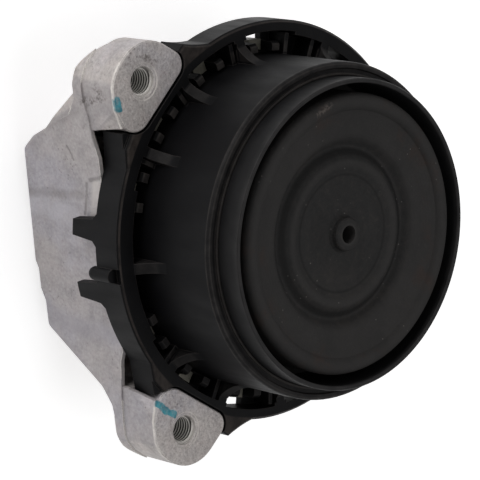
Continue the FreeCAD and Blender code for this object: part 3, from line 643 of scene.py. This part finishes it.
def cup_plastic():
    """Black moulding of the cup, with dust on its shoulder, ring, ribs and fingers, and painted highlights
    along its shoulder's edges.
    """
    graph = Graph("cup_plastic")
    colour = plastic_base(graph, CUP_DARK, CUP_LIGHT)
    dust = graph.span(graph.noise(210.0, 5.0, 0.7), 0.34, 0.66, 0.35, 1.0)
    height = graph.axes["Z"]
    distance = graph.radius()
    shoulder = graph.above(height, 86.0, 87.8)
    colour = graph.paint(graph.both(shoulder, dust), colour, SHOULDER_DUST)
    # Painted highlights along the shoulder's rounded edge and the thin edge inside it, broken up by the dust
    # noise.
    highlight_lines = graph.either(graph.both(graph.within(distance, 53.3, 54.4, 0.15), shoulder),
                         graph.both(graph.within(distance, 57.1, 57.5, 0.2), shoulder),
                         graph.both(graph.within(height, 86.4, 86.9, 0.2), graph.above(distance, 57.0, 57.8)))
    colour = graph.paint(graph.both(highlight_lines, dust), colour, SHOULDER_HIGHLIGHT, 0.9)
    ribs = graph.both(graph.within(height, 56.9, 68.0), graph.above(distance, 58.6, 59.2))
    colour = graph.paint(graph.both(ribs, dust), colour, RIB_DUST)
    fingers = graph.both(graph.within(height, 55.5, 56.2), graph.within(distance, 59.0, 62.9),
                         graph.span(graph.axes["X"], -5.0 * MM, 30.0 * MM, 1.0, 0.3))
    colour = graph.paint(graph.both(fingers, dust), colour, FINGER_DUST)
    rim = graph.both(graph.within(height, 56.2, 57.2, 0.2), graph.above(distance, 69.0, 69.6))
    colour = graph.paint(graph.both(rim, dust), colour, RIM_DUST, 0.8)
    glint = graph.both(near_path(graph, "XY", ((42.3, -57.7), (43.8, -56.9), (46.2, -56.1)), 0.2, 1.0, 1.4),
                       graph.within(height, 46.0, 56.0))
    colour = graph.paint(glint, colour, CUP_GLINT, 0.8)
    return moulding(graph, colour, CUP_EDGE, roughness=(0.44, 0.58), shine=0.11)


def lip_plastic():
    """Black moulding of the retainer, with a scuffed top edge."""
    graph = Graph("lip_plastic")
    colour = plastic_base(graph, LIP_DARK, LIP_LIGHT)
    worn = graph.span(graph.noise(160.0, 4.0, 0.65), 0.35, 0.65, 0.35, 1.0)
    top = graph.above(graph.axes["Z"], 94.0, 96.8)
    colour = graph.paint(graph.both(top, worn), colour, LIP_WEAR, 0.85)
    return moulding(graph, colour, LIP_EDGE, roughness=(0.42, 0.58), shine=0.15)


def track_plastic():
    """Plain black moulding of the inertia track."""
    graph = Graph("track_plastic")
    colour = plastic_base(graph, TRACK_DARK, TRACK_LIGHT)
    return moulding(graph, colour, TRACK_EDGE, roughness=(0.42, 0.58), shine=0.3)


# Rubber


def bellows_rings(graph, colour):
    """Dust on the bellows' bead, outer roll and nub, and painted shade in the grooves between them."""
    distance = graph.radius()
    patchy = graph.span(graph.noise(60.0, 4.0, 0.65), 0.3, 0.65, 0.45, 1.0)
    dusty = graph.either(graph.within(distance, 22.6, 25.2, 0.9), graph.within(distance, 32.0, 47.5, 1.4))
    colour = graph.paint(graph.both(dusty, patchy), colour, ROLL_DUST, 0.9)
    brown = graph.both(graph.within(distance, 38.0, 49.0, 2.5),
                       graph.span(graph.noise(48.0, 5.0, 0.7), 0.50, 0.66))
    colour = graph.paint(brown, colour, ROLL_BROWN, 0.8)
    scuff = near_path(graph, "XY", ((-44.3, -10.1), (-45.3, -7.1), (-46.5, -3.7)), 0.1, 1.5, 2.4)
    broken = graph.span(graph.noise(900.0, 4.0, 0.7), 0.45, 0.60)
    colour = graph.paint(graph.both(scuff, broken), colour, ROLL_SCUFF, 0.8)
    # Painted shade in the bellows' grooves.
    groove_shade = graph.either(graph.within(distance, 27.0, 29.3, 0.7), graph.within(distance, 19.8, 20.6, 0.5))
    colour = graph.paint(groove_shade, colour, GROOVE_SHADE, 0.7)
    return graph.paint(graph.below(distance, 2.8, 4.5), colour, NUB_DUST, 0.8)


def dusty_rubber(name, base, bloom_colour, bloom_limits, roughness, marks=None):
    """Matt rubber with a brownish bloom, faint moulding rings and a few light specks."""
    graph = Graph(name)
    bloom = graph.noise(30.0, 5.0, 0.65)
    fine = graph.noise(1500.0, 3.0, 0.6)
    colour = graph.mix(graph.span(bloom, *bloom_limits), base, bloom_colour)
    colour = graph.mix(graph.span(fine, 0.42, 0.70, 0.0, 0.4), colour, RUBBER_FINE)
    mottled = graph.noise(430.0, 4.0, 0.72)
    colour = graph.mix(graph.span(mottled, 0.50, 0.72, 0.0, 0.35), colour, RUBBER_LIGHT)
    colour = graph.mix(graph.span(mottled, 0.32, 0.48, 0.4, 0.0), colour, RUBBER_DARK)
    if marks:
        colour = marks(graph, colour)
    specks = graph.both(graph.span(graph.cells(340.0), 0.05, 0.10, 1.0, 0.0),
                        graph.span(graph.noise(55.0, 2.0), 0.47, 0.56))
    colour = graph.paint(specks, colour, RUBBER_SPECK, 0.6)
    rings = graph.math("SINE", graph.math("MULTIPLY", graph.radius(), 5200.0))
    graph.set("Base Color", colour)
    graph.set("Roughness", graph.span(fine, 0.3, 0.7, roughness - 0.08, roughness + 0.08))
    graph.set("Specular IOR Level", 0.25)
    graph.set("Normal", graph.bump(graph.plus(fine, rings, 0.12), 0.07, 0.7, graph.soft_edge(0.4)))
    return graph.material


# Steel


def turned_steel(name, base, film_colour, roughness, thread=None):
    """Machined steel: fine turning marks about the axis and a slightly darker film."""
    graph = Graph(name)
    marks = graph.noise(1.0, 3.0, 0.6, place=graph.stretched((30.0, 30.0, 2600.0)))
    film = graph.noise(60.0, 5.0, 0.6)
    colour = graph.mix(graph.span(film, 0.35, 0.7), base, film_colour)
    if thread:
        distance = thread_distance(graph, CORE_PLACE)
        threaded = thread_zone(graph, distance, thread)
        colour = graph.paint(threaded, colour, thread_tone(graph, distance, thread))
    graph.set("Base Color", colour)
    graph.set("Metallic", 0.9)
    graph.set("Roughness", graph.span(marks, 0.3, 0.7, roughness - 0.07, roughness + 0.1))
    graph.set("Normal", graph.bump(marks, 0.03, 0.6, graph.soft_edge(0.4)))
    return graph.material


def make_materials():
    return {
        "cast_aluminium": cast_aluminium(),
        "cup_plastic": cup_plastic(),
        "lip_plastic": lip_plastic(),
        "track_plastic": track_plastic(),
        "bellows_rubber": dusty_rubber("bellows_rubber", BELLOWS_BASE, BELLOWS_BLOOM,
                                       bloom_limits=(0.46, 0.68), roughness=0.72, marks=bellows_rings),
        "spring_rubber": dusty_rubber("spring_rubber", SPRING_BASE, SPRING_BLOOM,
                                      bloom_limits=(0.45, 0.7), roughness=0.66),
        "membrane_rubber": dusty_rubber("membrane_rubber", MEMBRANE_BASE, MEMBRANE_BLOOM,
                                        bloom_limits=(0.45, 0.7), roughness=0.62),
        "insert_steel": turned_steel("insert_steel", INSERT_BASE, INSERT_FILM, roughness=0.42),
        "core_steel": turned_steel("core_steel", CORE_BASE, CORE_FILM, roughness=0.38, thread=CORE_THREAD),
    }


# Geometry of the scene's own pieces


def thread_ridge(work, centre, sizes):
    """An internal thread: one helical ridge from the bore's wall inwards, fading out at both ends."""
    pitch = sizes["pitch"]
    root = sizes["major"] + THREAD_OVERLAP
    run_bottom = sizes["bottom"] + pitch / 2
    run_top = sizes["top"] - pitch / 2
    turns = (run_top - run_bottom) / pitch
    count = int(turns * THREAD_STEPS)
    fade_in = THREAD_STEPS * 0.5
    fade_out = THREAD_STEPS * 0.15
    rows = []
    for i in range(count + 1):
        share = i / count
        angle = THREAD_END + 2 * math.pi * turns * (share - 1)
        height = run_bottom + (run_top - run_bottom) * share
        fade = min(1.0, i / fade_in, (count - i) / fade_out)
        crest = root - (root - sizes["minor"]) * max(fade, 0.02)
        half_root = pitch * 0.46 * max(fade, 0.05)
        half_crest = pitch * 0.11 * max(fade, 0.05)
        corners = ((root, -half_root), (crest, -half_crest), (crest, half_crest), (root, half_root))
        row = []
        for radius, rise in corners:
            x = centre[0] + radius * math.cos(angle)
            y = centre[1] + radius * math.sin(angle)
            row.append(work.verts.new(metres((x, y, height + rise))))
        rows.append(row)
    for low, high in zip(rows, rows[1:]):
        for a in range(4):
            b = (a + 1) % 4
            work.faces.new((low[a], low[b], high[b], high[a]))
    work.faces.new(rows[0])
    work.faces.new(rows[-1])


def make_thread(name, centre, sizes, material):
    """A thread that rides on the part and takes a slot's finish."""
    mesh = bpy.data.meshes.new(name)
    work = bmesh.new()
    thread_ridge(work, centre, sizes)
    bmesh.ops.recalc_face_normals(work, faces=work.faces)
    work.to_mesh(mesh)
    work.free()
    mesh.materials.append(material)
    piece = bpy.data.objects.new(name, mesh)
    bpy.context.collection.objects.link(piece)
    mesh.shade_smooth()
    mesh.set_sharp_from_angle(angle=THREAD_SHARP)
    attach(piece, "root")


def make_threads(materials):
    for name, place in zip(("lug_thread_left", "lug_thread_right"), LUG_PLACES):
        make_thread(name, place, LUG_THREAD, materials["cast_aluminium"])
    make_thread("core_thread_ridge", CORE_PLACE, CORE_THREAD, materials["core_steel"])


def dress_nodes(materials):
    """Gives each node of the part the material of its slot."""
    for part in frame["record"]["subparts"]:
        node = frame["nodes"][part["node"]]
        node.data.materials.clear()
        node.data.materials.append(materials[part["material_slot"]])


bpy.context.scene.view_settings.view_transform = "Standard"
make_camera()
make_world()
make_lights()
make_floor()
all_materials = make_materials()
dress_nodes(all_materials)
make_threads(all_materials)
